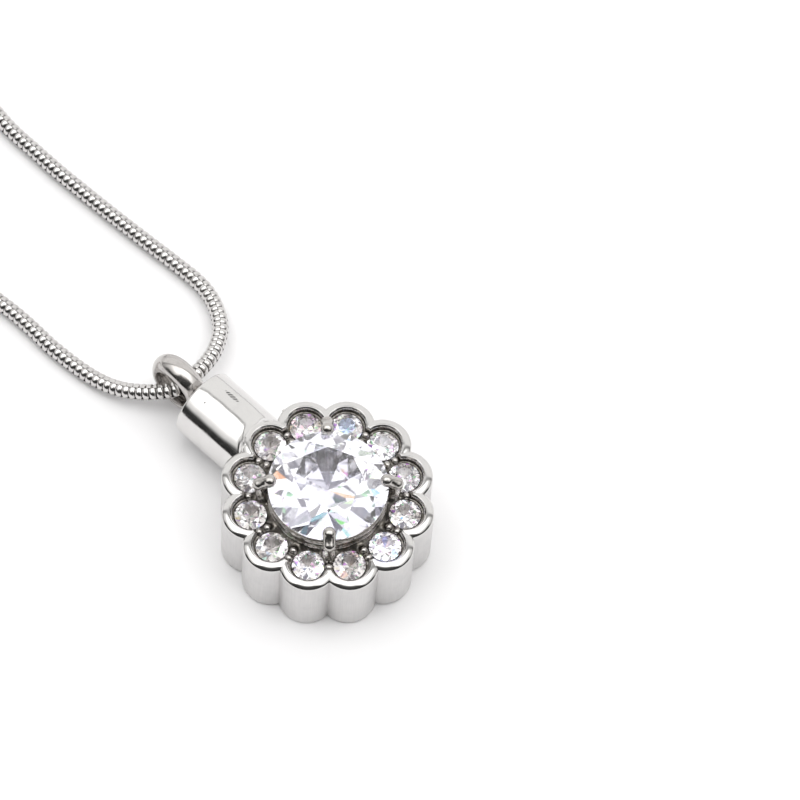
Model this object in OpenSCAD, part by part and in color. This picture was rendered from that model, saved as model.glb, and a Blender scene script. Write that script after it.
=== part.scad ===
// Keepsake urn pendant: a flower-shaped case with a screw neck, a ring on its screw, a stone
// setting in its face and a snake chain through the ring. Millimetres. The origin is the middle
// of the case's back, the stones look up along +Z and the neck points along +Y.

/* [Case] */
// Height of the case from its back to the top of its rim
case_h = 6.9; // [6.3:0.1:9]
// Radius of the circle that the petals stand on
petal_ring_r = 6.8; // [6.7:0.05:7.2]
// Radius of one petal's round end
petal_r = 2.48; // [2.4:0.02:2.7]
// Width of the rim round the recess
rim_w = 0.84; // [0.7:0.02:0.9]
// Rounding of the rim's outer edge
rim_round = 0.45; // [0.2:0.05:0.5]
// Rounding of the back's outer edge
back_round = 0.25; // [0.1:0.05:0.4]
// Depth of the recess that takes the setting
recess_depth = 2.0; // [1.6:0.1:2.2]
// Wall between the ash chamber and the back
floor_t = 0.8; // [0.5:0.1:1.2]
// Wall between the ash chamber and the setting's well
web_t = 0.6; // [0.4:0.1:0.9]
// Radius of the ash chamber
chamber_r = 7.2; // [6:0.1:7.3]

/* [Neck] */
// Diameter of the neck
neck_d = 6.4; // [5.6:0.1:6.6]
// Length of the neck from the tip of its petal to its end
neck_len = 5.9; // [5:0.1:9]
// Rounding of the neck's end
neck_round = 0.25; // [0.1:0.05:0.5]
// Diameter of the bore that takes the screw
bore_d = 3.16; // [2.8:0.02:3.8]
// Depth of that bore from the neck's end
bore_depth = 5.8; // [4.5:0.1:6.2]
// Diameter of the passage from the bore to the ash chamber
passage_d = 2.2; // [1.6:0.1:2.4]

/* [Ring screw] */
// Outer diameter of the ring at its crown
ring_od = 5.84; // [5.2:0.02:6.5]
// Diameter of the ring's hole
ring_hole_d = 3.8; // [3.2:0.1:4]
// Width of the ring's band
ring_w = 2.06; // [1.4:0.02:2.4]
// Thickness of the band at its two edges
ring_edge = 0.35; // [0.2:0.05:0.4]
// How far the ring's crown dips into the neck's mouth, where it is soldered to the screw
ring_sink = 0.3; // [0.1:0.05:0.35]
// Radial clearance of the screw in its bore
screw_gap = 0.08; // [0.02:0.01:0.1]
// Gap between the screw's tip and the bottom of its bore
tip_gap = 0.3; // [0.2:0.05:0.8]
// Chamfer on the screw's tip
tip_chamfer = 0.3; // [0.1:0.05:0.5]

/* [Setting] */
// Gap between the setting and the case
seat_gap = 0.05; // [0.02:0.01:0.1]
// How far the small stones' girdles lie below the rim
accent_sink = 0.6; // [0.4:0.05:0.8]
// Gap between a small stone and its cup
cup_gap = 0.06; // [0.03:0.01:0.1]
// Radius of the grains between the small stones
grain_r = 0.34; // [0.25:0.01:0.4]
// Half the distance between the two grains of a pair
grain_offset = 0.4; // [0.35:0.01:0.45]
// Wall of the collet under the middle stone
collet_t = 0.5; // [0.4:0.05:0.6]
// Radius of the two beads round the collet
collet_bead_r = 0.26; // [0.15:0.01:0.3]
// Gap between the collet and the middle stone
collet_gap = 0.16; // [0.1:0.02:0.3]
// Radius of a prong
prong_r = 0.58; // [0.45:0.01:0.6]
// How far a prong's foot stands outside the middle stone
prong_foot = 0.35; // [0.25:0.05:0.4]
// How far a prong's tip reaches over the middle stone
prong_reach = 0.17; // [0.1:0.01:0.3]
// Gap between a prong and the middle stone
prong_gap = 0.03; // [0.02:0.01:0.08]

/* [Stones] */
// Diameter of the middle stone
centre_d = 10.3; // [9.8:0.1:10.4]
// Height of the middle stone's girdle above the rim
centre_raise = 1.4; // [1.2:0.1:2]
// Diameter of a small stone
accent_d = 2.75; // [2.3:0.05:2.8]
// Thickness of a stone's girdle, as a share of its diameter
girdle_share = 0.015; // [0.01:0.005:0.04]
// Width of a stone's table, as a share of its diameter
table_share = 0.57; // [0.5:0.01:0.65]
// Height of a stone's crown, as a share of its diameter
crown_share = 0.14; // [0.12:0.01:0.16]
// Depth of a stone's pavilion, as a share of its diameter
pavilion_share = 0.4; // [0.38:0.01:0.42]
// How far the outer points of a stone's star facets lie outside the middle of its crown, as a share of
// its radius
star_lift = 0.02; // [0:0.01:0.05]
// Radius at which a stone's lower facets end, as a share of its own
deep_share = 0.3; // [0.2:0.05:0.5]

/* [Chain] */
// Diameter of the snake chain
chain_d = 1.5; // [1.2:0.1:1.7]
// Height of the chain above the bottom of the ring's hole
chain_play = 0.25; // [0.2:0.01:0.3]

/* [Clasp] */
// Length of the barrel clasp
clasp_len = 12; // [10:0.5:16]
// Diameter of the barrel clasp
clasp_d = 3; // [2.6:0.1:4]
// Depth of the hole that takes each end of the chain
socket_depth = 2; // [1.5:0.1:3]
// Gap round the chain in that hole
socket_gap = 0.08; // [0.05:0.01:0.15]
// Rounding of the clasp's ends
clasp_round = 0.5; // [0.2:0.1:0.6]
// Depth of the groove round the clasp's middle
groove_depth = 0.3; // [0.1:0.05:0.5]
// Width of that groove
groove_w = 0.6; // [0.3:0.1:1]
// Gap between the chain's end and the bottom of its hole
end_gap = 0.2; // [0.1:0.05:0.4]

/* [Hidden] */
$fn = 64;
eps = 0.01;
arc_shift = 0.1;

// Counts that the flower's pattern fixes
petals = 12;
prongs = 4;
petal_step = 360 / petals;
prong_step = 360 / prongs;
neck_turn = 90;

// Heights in the case
recess_z = case_h - recess_depth;
accent_z = case_h - accent_sink;
centre_z = case_h + centre_raise;
girdle_t = girdle_share * centre_d;
pavilion_h = pavilion_share * centre_d;
crown_h = crown_share * centre_d;
table_r = table_share * centre_d / 2;
centre_r = centre_d / 2;
culet_z = centre_z - girdle_t / 2 - pavilion_h;

// The well under the middle stone and the ash chamber below it
culet_gap = 0.15;
well_gap = 0.5;
well_z = culet_z - culet_gap;
well_r = centre_r * (recess_z - culet_z) / pavilion_h + well_gap;
chamber_h = well_z - web_t - floor_t;

// Radii of the recess and of the setting in it
disc_reach = 0.35;
recess_r = petal_r - rim_w;
recess_disc_r = petal_ring_r + disc_reach;
setting_r = recess_r - seat_gap;
setting_disc_r = recess_disc_r - seat_gap;
body_disc_r = petal_ring_r * cos(petal_step / 2);

// The neck and what is in it
ground_gap = 0.1;
neck_root = 0.4;
head_rise = 0.1;
neck_z = max(case_h, neck_d + ground_gap) / 2;
neck_r = neck_d / 2;
petal_tip_y = petal_ring_r + petal_r;
neck_end_y = petal_tip_y + neck_len;
neck_root_y = petal_ring_r + neck_root;
bore_end_y = neck_end_y - bore_depth;
passage_start_y = (well_r + chamber_r) / 2;
screw_r = bore_d / 2 - screw_gap;
screw_tip_y = bore_end_y + tip_gap;
screw_head_y = neck_end_y + head_rise;
ring_r = ring_od / 2;
ring_hole_r = ring_hole_d / 2;
ring_side_r = ring_hole_r + ring_edge;
ring_y = neck_end_y + ring_r - ring_sink;
ring_rise = ring_r - ring_side_r;
ring_dome_r = (ring_rise * ring_rise + ring_w * ring_w / 4) / (2 * ring_rise);

// The cups, whose walls follow the stones in them
accent_r = accent_d / 2;
cup_r = accent_r + cup_gap;
cup_lip = 0.15;
cup_bottom_r = 0.35;
cup_bottom_z = accent_z - girdle_share * accent_d / 2 - pavilion_share * accent_d - cup_gap;
cup_top_z = accent_z + girdle_share * accent_d / 2 + crown_share * accent_d + cup_gap;

// How far the grains' pairs stand inside the circle of small stones
grain_shift = 0.45;

// The collet, which stops just under the middle stone's pavilion
collet_inset = 0.05;
collet_land = 0.18;
collet_bevel = 0.5;
collet_root = 0.2;
bead_sink = 0.05;
bead_drop = 0.2;
collet_r = centre_r - collet_inset;
collet_hole_r = collet_r - collet_t;
collet_top_r = collet_r - collet_land;
collet_top_z = centre_z - girdle_t / 2 - (centre_r - collet_top_r) * pavilion_h / centre_r - collet_gap;
collet_low_z = accent_z + collet_bead_r - bead_sink;
collet_high_z = collet_top_z - collet_bead_r - bead_drop;
collet_bead_out = 0.1;

// A prong leans in from its foot to its knee beside the girdle and its tip over the crown
crown_tilt = atan(crown_h / (centre_r - table_r));
knee_gap = 0.12;
knee_drop = 0.02;
knee_r = centre_r + prong_r + knee_gap;
tip_r = centre_r - prong_reach;
tip_z = centre_z + girdle_t / 2 + prong_reach * tan(crown_tilt) + (prong_r + prong_gap) / cos(crown_tilt);
knee_z = tip_z - (knee_r - tip_r) * tan(crown_tilt) - knee_drop;
foot_r = centre_r + prong_foot;
rod_share = 0.94;

// The chain's centre line between the clasp's two ends, each point as [x, y from the ring's middle,
// share of the rise]. Near points rise to the ring and far ones to the clasp. One more point is
// worked out between each two.
CHAIN_ROUTE = [
    [12, 160, 0.86], [32, 155.2, 0.1], [45, 148.2, 0], [56, 137.2, 0], [64, 122.7, 0], [67, 105.7, 0],
    [65.5, 89.2, 0], [59, 73.7, 0], [48, 61.2, 0], [35, 52, 0], [22.5, 45.5, 0], [13, 40, 0],
    [9.2, 33.5, 0], [8.6, 27, 0], [8.65, 21.5, 0], [8.85, 16.5, 0], [9.1, 12.2, 0], [9.3, 8.9, 0.01],
    [9.25, 6.2, 0.04], [8.4, 3.75, 0.15], [6.9, 1.85, 0.41], [4.65, 0.5, 0.74], [2.3, 0, 0.96], [0, 0, 1],
    [-1.35, 0.9, 0.92], [-2.55, 2.4, 0.65], [-3.45, 4.3, 0.3], [-3.95, 6.4, 0.06], [-4.25, 8.8, 0],
    [-4.4, 12, 0], [-4.45, 18, 0], [-6.5, 27, 0], [-13, 35.7, 0], [-24.5, 43.7, 0], [-38, 52.2, 0],
    [-50.5, 63.7, 0], [-59, 78.2, 0], [-63, 94.7, 0], [-62.5, 111.7, 0], [-57.5, 127.7, 0],
    [-47, 141.2, 0], [-33.5, 150.7, 0], [-19, 157.2, 0.2], [-8.5, 159.9, 0.86]
];
far_y = 80;
chain_r = chain_d / 2;
chain_sides = 8;
chain_rise = neck_z - ring_hole_r + chain_play;
clasp_x = 2;
clasp_y = ring_y + 160.2;
clasp_z = clasp_d / 2;
clasp_reach = clasp_len / 2 - socket_depth + end_gap;
socket_r = chain_r + socket_gap;

// Angle of petal number i, counted from the neck's own petal
function petal_angle(i) = neck_turn + (i - 1) * petal_step;

// Angle of the gap before petal number i, where the grains and prongs stand
function gap_angle(i) = petal_angle(i) - petal_step / 2;

// Whether a prong stands in the gap before petal number i
function has_prong(i) = (gap_angle(i) - prong_step / 2) % prong_step == 0;

// Rings of points of a round-brilliant stone d across, from the table down to the culet
function brilliant_rings(d) =
    let (
        mains = 8,
        turn = 360 / mains,
        r = d / 2,
        half_girdle = girdle_share * r,
        crown = crown_share * d,
        pavilion = pavilion_share * d,
        table = table_share * r,
        star = (table + r) / 2 + star_lift * r,
        star_z = half_girdle + (r - star * cos(turn / 2)) * crown / (r - table),
        deep = deep_share * r,
        deep_z = -half_girdle - (r - deep * cos(turn / 2)) * pavilion / r
    )
    [
        [for (k = [0:mains - 1]) [table * cos(turn * k), table * sin(turn * k), half_girdle + crown]],
        [for (k = [0:mains - 1]) [star * cos(turn * (k + 0.5)), star * sin(turn * (k + 0.5)), star_z]],
        [for (k = [0:2 * mains - 1]) [r * cos(turn * k / 2), r * sin(turn * k / 2), half_girdle]],
        [for (k = [0:2 * mains - 1]) [r * cos(turn * k / 2), r * sin(turn * k / 2), -half_girdle]],
        [for (k = [0:mains - 1]) [deep * cos(turn * (k + 0.5)), deep * sin(turn * (k + 0.5)), deep_z]],
        [[0, 0, -half_girdle - pavilion]]
    ];

// Number of the first point of ring i
function first_point(rings, i) = i == 0 ? 0 : first_point(rings, i - 1) + len(rings[i - 1]);

// Faces over those rings: table, stars, bezels, upper halves, girdle, lower halves and mains
function brilliant_faces(rings) =
    let (
        n = len(rings[0]),
        table = first_point(rings, 0),
        star = first_point(rings, 1),
        upper = first_point(rings, 2),
        lower = first_point(rings, 3),
        deep = first_point(rings, 4),
        culet = first_point(rings, 5)
    )
    concat(
        [[for (k = [n - 1:-1:0]) table + k]],
        [for (k = [0:n - 1]) [table + k, table + (k + 1) % n, star + k]],
        [for (k = [0:n - 1]) [table + k, star + k, upper + 2 * k]],
        [for (k = [0:n - 1]) [table + k, upper + 2 * k, star + (k + n - 1) % n]],
        [for (k = [0:n - 1]) [star + k, upper + 2 * k + 1, upper + 2 * k]],
        [for (k = [0:n - 1]) [star + k, upper + (2 * k + 2) % (2 * n), upper + 2 * k + 1]],
        [for (k = [0:2 * n - 1]) [upper + k, upper + (k + 1) % (2 * n), lower + (k + 1) % (2 * n)]],
        [for (k = [0:2 * n - 1]) [upper + k, lower + (k + 1) % (2 * n), lower + k]],
        [for (k = [0:n - 1]) [deep + k, lower + 2 * k, lower + 2 * k + 1]],
        [for (k = [0:n - 1]) [deep + k, lower + 2 * k + 1, lower + (2 * k + 2) % (2 * n)]],
        [for (k = [0:n - 1]) [culet, lower + 2 * k, deep + k]],
        [for (k = [0:n - 1]) [culet, deep + (k + n - 1) % n, lower + 2 * k]]
    );

// Point halfway along the smooth curve between b and c, with a and d as its outer neighbours
function halfway(a, b, c, d) = (9 * (b + c) - a - d) / 16;

// A point kept high enough for the chain to lie on the ground
function on_ground(p) = [p[0], p[1], max(p[2], chain_r)];

// Place of one point of the route
function placed(p) = [p[0], ring_y + p[1], chain_r + p[2] * (p[1] > far_y ? clasp_z - chain_r : chain_rise)];

// The route with a point worked out between each two of its own
function refined(route) =
    let (last = len(route) - 1)
    concat(
        [
            for (i = [0:last - 1])
                for (half = [0:1])
                    half == 0
                        ? route[i]
                        : on_ground(
                            halfway(route[max(i - 1, 0)], route[i], route[i + 1], route[min(i + 2, last)])
                        )
        ],
        [route[last]]
    );

function unit(v) = v / norm(v);

// Direction of a path at its point i
function heading(path, i) = unit(path[min(i + 1, len(path) - 1)] - path[max(i - 1, 0)]);

// Ring of points square to the path at its point i
function tube_ring(path, i, r, sides) =
    let (
        along = heading(path, i),
        side = unit(cross([0, 0, 1], along)),
        up = cross(along, side)
    )
    [for (k = [0:sides - 1]) path[i] + r * (cos(360 * k / sides) * side + sin(360 * k / sides) * up)];

// A tube of radius r swept along a path
module swept_tube(path, r, sides) {
    count = len(path);
    polyhedron(
        points = [for (i = [0:count - 1]) each tube_ring(path, i, r, sides)],
        faces = concat(
            [[for (k = [0:sides - 1]) k]],
            [
                for (i = [0:count - 2])
                    for (k = [0:sides - 1])
                        [i * sides + k, (i + 1) * sides + k, i * sides + (k + 1) % sides]
            ],
            [
                for (i = [0:count - 2])
                    for (k = [0:sides - 1])
                        [(i + 1) * sides + k, (i + 1) * sides + (k + 1) % sides, i * sides + (k + 1) % sides]
            ],
            [[for (k = [sides - 1:-1:0]) (count - 1) * sides + k]]
        )
    );
}

// The rounded corner of a profile whose wall is at r and whose end is at z. The arc meets both at a
// slight angle, so that neighbouring posts cut each other cleanly.
module rounded_corner(r, z, round, up) {
    centre = (1 + arc_shift) * round;
    intersection() {
        translate([r - centre, z - up * centre]) circle(norm([centre, arc_shift * round]));
        translate([r - round, up > 0 ? z - round : z]) square(round);
    }
}

// A cylinder standing on z = 0 whose top and bottom edges are rounded
module rounded_post(r, h, top_round, bottom_round) {
    rotate_extrude() {
        translate([0, bottom_round]) square([r, h - top_round - bottom_round]);
        square([r - bottom_round, bottom_round]);
        translate([0, h - top_round]) square([r - top_round, top_round]);
        rounded_corner(r, h, top_round, 1);
        rounded_corner(r, 0, bottom_round, -1);
    }
}

// Children repeated at every petal
module at_petals(radius) {
    for (i = [1:petals])
        rotate([0, 0, petal_angle(i)]) translate([radius, 0, 0]) children();
}

// The outline of a flower: a disc and a round petal end at every petal
module flower_outline(disc_r, r) {
    circle(disc_r);
    at_petals(petal_ring_r) circle(r);
}

// A straight rod with a slightly thicker ball at each end, between two points given as radius and
// height
module balled_rod(a, b, r) {
    run = b - a;
    translate([a[0], 0, a[1]]) sphere(r);
    translate([b[0], 0, b[1]]) sphere(r);
    translate([a[0], 0, a[1]])
        rotate([0, 90 - atan2(run[1], run[0]), 0]) cylinder(r = rod_share * r, h = norm(run));
}

// The flower-shaped case, its recess, ash chamber and neck
module case() {
    color("silver")
        difference() {
            union() {
                at_petals(petal_ring_r) rounded_post(petal_r, case_h, rim_round, back_round);
                cylinder(r = body_disc_r, h = case_h);
                translate([0, neck_root_y, neck_z])
                    rotate([-90, 0, 0])
                        rounded_post(neck_r, neck_end_y - neck_root_y, neck_round, back_round);
            }
            translate([0, 0, recess_z])
                linear_extrude(recess_depth + eps) flower_outline(recess_disc_r, recess_r);
            translate([0, 0, well_z]) cylinder(r = well_r, h = recess_z - well_z + eps);
            translate([0, 0, floor_t]) cylinder(r = chamber_r, h = chamber_h);
            translate([0, passage_start_y, neck_z])
                rotate([-90, 0, 0])
                    cylinder(d = passage_d, h = bore_end_y - passage_start_y + eps);
            translate([0, bore_end_y, neck_z]) rotate([-90, 0, 0]) cylinder(d = bore_d, h = bore_depth + eps);
        }
}

// One prong, leaning in over the middle stone, and the web that ties it to the collet
module prong() {
    web_start = collet_r - collet_t / 2;
    web_bottom = accent_z - collet_root;
    balled_rod([foot_r, accent_z - prong_r / 2], [knee_r, knee_z], prong_r);
    balled_rod([knee_r, knee_z], [tip_r, tip_z], prong_r);
    translate([web_start, -prong_r / 2, web_bottom])
        cube([foot_r - web_start, prong_r, collet_high_z - web_bottom]);
}

// The collet that the middle stone stands on, with a bead round its foot and its head
module collet() {
    rotate_extrude() {
        polygon([
            [collet_hole_r, accent_z - collet_root], [collet_r, accent_z - collet_root],
            [collet_r, collet_top_z], [collet_top_r, collet_top_z],
            [collet_hole_r, collet_top_z - collet_bevel]
        ]);
        for (z = [collet_low_z, collet_high_z])
            translate([collet_r - collet_bead_r + collet_bead_out, z]) circle(collet_bead_r);
    }
}

// The cast setting: a plate with a cup for each small stone, grains, collet and prongs
module setting() {
    color("gainsboro")
        difference() {
            union() {
                translate([0, 0, recess_z + seat_gap])
                    linear_extrude(accent_z - recess_z - seat_gap) flower_outline(setting_disc_r, setting_r);
                collet();
                for (i = [1:petals])
                    rotate([0, 0, gap_angle(i)]) {
                        translate([petal_ring_r + grain_offset - grain_shift, 0, accent_z]) sphere(grain_r);
                        if (has_prong(i)) prong();
                        else translate([petal_ring_r - grain_offset - grain_shift, 0, accent_z]) sphere(grain_r);
                    }
            }
            translate([0, 0, recess_z]) cylinder(r = collet_hole_r, h = accent_z - recess_z);
            at_petals(petal_ring_r) {
                translate([0, 0, accent_z - cup_lip]) cylinder(r = cup_r, h = cup_top_z - accent_z + cup_lip);
                translate([0, 0, cup_bottom_z])
                    cylinder(r1 = cup_bottom_r, r2 = cup_r, h = accent_z - cup_lip - cup_bottom_z + eps);
            }
        }
}

// A round-brilliant stone d across, with the middle of its girdle at the origin
module brilliant(d) {
    rings = brilliant_rings(d);
    color("white", 0.6) polyhedron(points = [for (ring = rings) each ring], faces = brilliant_faces(rings));
}

// The large round stone in the middle
module centre_stone() {
    translate([0, 0, centre_z]) brilliant(centre_d);
}

// Small round stone number i
module accent_stone(i) {
    rotate([0, 0, petal_angle(i)]) translate([petal_ring_r, 0, accent_z]) brilliant(accent_d);
}

// The band of the ring, thick at its crown and thin at its two edges
module ring_band() {
    rotate([0, 90, 0])
        rotate_extrude() {
            translate([ring_hole_r, -ring_w / 2]) square([ring_edge, ring_w]);
            intersection() {
                translate([ring_r - ring_dome_r, 0]) circle(ring_dome_r);
                translate([ring_side_r - eps, -ring_w / 2]) square([ring_rise + 2 * eps, ring_w]);
            }
        }
}

// The screw that closes the neck, with the ring soldered on its head
module ring_screw() {
    color("silver")
        union() {
            translate([0, ring_y, neck_z]) ring_band();
            translate([0, screw_tip_y + tip_chamfer, neck_z])
                rotate([-90, 0, 0])
                    cylinder(r = screw_r, h = screw_head_y - screw_tip_y - tip_chamfer);
            translate([0, screw_tip_y, neck_z])
                rotate([-90, 0, 0])
                    cylinder(r1 = screw_r - tip_chamfer, r2 = screw_r, h = tip_chamfer);
        }
}

// The snake chain, as a tube of its outer size with both ends in the clasp
module chain() {
    route = concat(
        [[clasp_x + clasp_reach, clasp_y, clasp_z]],
        [for (p = CHAIN_ROUTE) placed(p)],
        [[clasp_x - clasp_reach, clasp_y, clasp_z]]
    );
    color("lightgray") swept_tube(refined(route), chain_r, chain_sides);
}

// The barrel clasp that joins the chain's two ends
module clasp() {
    color("silver")
        translate([clasp_x - clasp_len / 2, clasp_y, clasp_z])
            rotate([0, 90, 0])
                difference() {
                    rounded_post(clasp_d / 2, clasp_len, clasp_round, clasp_round);
                    translate([0, 0, -eps]) cylinder(r = socket_r, h = socket_depth + eps);
                    translate([0, 0, clasp_len - socket_depth]) cylinder(r = socket_r, h = socket_depth + eps);
                    translate([0, 0, (clasp_len - groove_w) / 2])
                        difference() {
                            cylinder(d = clasp_d + 1, h = groove_w);
                            translate([0, 0, -eps])
                                cylinder(d = clasp_d - 2 * groove_depth, h = groove_w + 2 * eps);
                        }
                }
}

case();
setting();
centre_stone();
ring_screw();
chain();
clasp();
for (i = [1:petals])
    accent_stone(i);
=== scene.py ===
"""Dresses the keepsake urn pendant: its case, setting, cut stones, ring screw, snake chain and clasp."""

import logging
import math
import random
from dataclasses import dataclass
from enum import Enum
from typing import Callable, Iterable, Sequence

import bmesh
import bpy
from mathutils import Matrix, Vector


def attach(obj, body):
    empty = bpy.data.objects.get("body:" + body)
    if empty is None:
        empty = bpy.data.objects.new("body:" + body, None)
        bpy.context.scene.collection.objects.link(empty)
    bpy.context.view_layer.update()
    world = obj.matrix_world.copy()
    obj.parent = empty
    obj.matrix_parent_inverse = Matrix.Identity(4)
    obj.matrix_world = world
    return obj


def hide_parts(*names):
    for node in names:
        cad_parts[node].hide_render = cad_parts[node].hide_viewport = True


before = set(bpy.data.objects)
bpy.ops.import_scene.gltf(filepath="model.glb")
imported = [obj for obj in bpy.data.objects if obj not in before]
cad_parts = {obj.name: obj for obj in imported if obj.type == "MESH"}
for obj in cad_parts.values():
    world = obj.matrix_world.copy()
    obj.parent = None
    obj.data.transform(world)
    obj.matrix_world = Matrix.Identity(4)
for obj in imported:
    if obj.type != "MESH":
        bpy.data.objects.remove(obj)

LOG = logging.getLogger("pendant")
MM = 0.001
RELIEF = 0.0001

Point = tuple[float, float, float]
Face = tuple[int, ...]


class Body(Enum):
    """The two rigid bodies that the pieces ride on."""

    NECKLACE = "necklace"
    URN = "urn"


class Slot(Enum):
    """The record's material slots."""

    STEEL = "polished_steel"
    SETTING = "cast_setting"
    CHAIN = "chain_steel"
    CENTRE = "centre_stone"
    SMALL = "small_stone"


# ------------------------------------------------------------------ mesh helpers


def new_object(name: str, mesh: bpy.types.Mesh) -> bpy.types.Object:
    """Put a mesh into the scene as an object at the origin."""
    piece = bpy.data.objects.new(name, mesh)
    bpy.context.scene.collection.objects.link(piece)
    return piece


def build_mesh(
    name: str,
    points: Sequence[Sequence[float]],
    faces: Sequence[Face],
    materials: Sequence[bpy.types.Material],
    finish_of: Callable[[Vector, Vector], int] | None = None,
    crease: float = 35.0,
    outward: bool = True,
) -> bpy.types.Object:
    """Make one mesh piece from points in millimetres.

    Args:
        name: The piece's name.
        points: Corner points in millimetres, in the part's frame.
        faces: Corner numbers of each face.
        materials: The finishes that the piece wears.
        finish_of: Gives a face's material number from its centre in millimetres and its normal.
        crease: Angle in degrees past which an edge stays sharp.
        outward: Whether the normals are worked out again to point outwards.

    Returns:
        The new object.
    """
    bm = bmesh.new()
    made = [bm.verts.new([c * MM for c in p]) for p in points]
    for f in faces:
        corners = [made[i] for i in dict.fromkeys(f)]
        if len(corners) > 2:
            try:
                bm.faces.new(corners)
            except ValueError:
                continue
    bmesh.ops.remove_doubles(bm, verts=bm.verts, dist=1e-7)
    if outward:
        bmesh.ops.recalc_face_normals(bm, faces=bm.faces)
    bm.normal_update()
    for f in bm.faces:
        f.smooth = True
        if finish_of is not None:
            f.material_index = finish_of(f.calc_center_median() / MM, f.normal)
    mesh = bpy.data.meshes.new(name)
    bm.to_mesh(mesh)
    bm.free()
    for m in materials:
        mesh.materials.append(m)
    mesh.set_sharp_from_angle(angle=math.radians(crease))
    return new_object(name, mesh)


def grid_faces(rows: int, columns: int, closed: bool = True, start: int = 0) -> list[Face]:
    """Quads over a grid of points.

    Args:
        rows: Number of rows.
        columns: Points in each row.
        closed: Whether each row closes on itself.
        start: Number of the grid's first point.

    Returns:
        The faces.
    """
    last = columns if closed else columns - 1
    return [
        (
            start + r * columns + c,
            start + r * columns + (c + 1) % columns,
            start + (r + 1) * columns + (c + 1) % columns,
            start + (r + 1) * columns + c,
        )
        for r in range(rows - 1)
        for c in range(last)
    ]


@dataclass(frozen=True)
class Spindle:
    """A turning axis: a point on it, its direction and the direction of angle zero."""

    origin: Point
    along: Point
    zero: Point

    def place(self, radius: float, height: float, angle: float) -> Point:
        """The point at a radius, a height along the axis and an angle in radians."""
        along, zero = Vector(self.along), Vector(self.zero)
        side = along.cross(zero)
        return tuple(
            Vector(self.origin) + along * height + (zero * math.cos(angle) + side * math.sin(angle)) * radius
        )


def turned(
    spindle: Spindle, profile: Sequence[tuple[float, float]], segments: int, start: int = 0, closed: bool = False
) -> tuple[list[Point], list[Face]]:
    """Turn a profile round an axis.

    Args:
        spindle: The axis.
        profile: Radius and height of each point, in millimetres.
        segments: Steps round the axis.
        start: Number of the first point.
        closed: Whether the profile closes on itself, as a ring's does.

    Returns:
        The points and the faces.
    """
    points = [
        spindle.place(r, h, 2 * math.pi * s / segments) for r, h in profile for s in range(segments)
    ]
    faces = grid_faces(len(profile), segments, True, start)
    if closed:
        top = (len(profile) - 1) * segments
        faces += [
            (start + top + s, start + top + (s + 1) % segments, start + (s + 1) % segments, start + s)
            for s in range(segments)
        ]
    return points, faces


def quarter_round(radius: float, height: float, soft: float, turns: Sequence[float]) -> list[tuple[float, float]]:
    """Points over a rounded edge whose centre lies at a radius and a height."""
    return [(radius + soft * math.sin(a), height + soft * math.cos(a)) for a in turns]


def ride(piece: bpy.types.Object, body: Body, replaces: Iterable[str] = ()) -> bpy.types.Object:
    """Hand a finished piece over to its body and the nodes that it stands for."""
    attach(piece, body.value)
    names = list(replaces)
    if names:
        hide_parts(*names)
    LOG.info("%s: %d faces on %s", piece.name, len(piece.data.polygons), body.value)
    return piece


# ------------------------------------------------------------------ shader helpers


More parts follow.
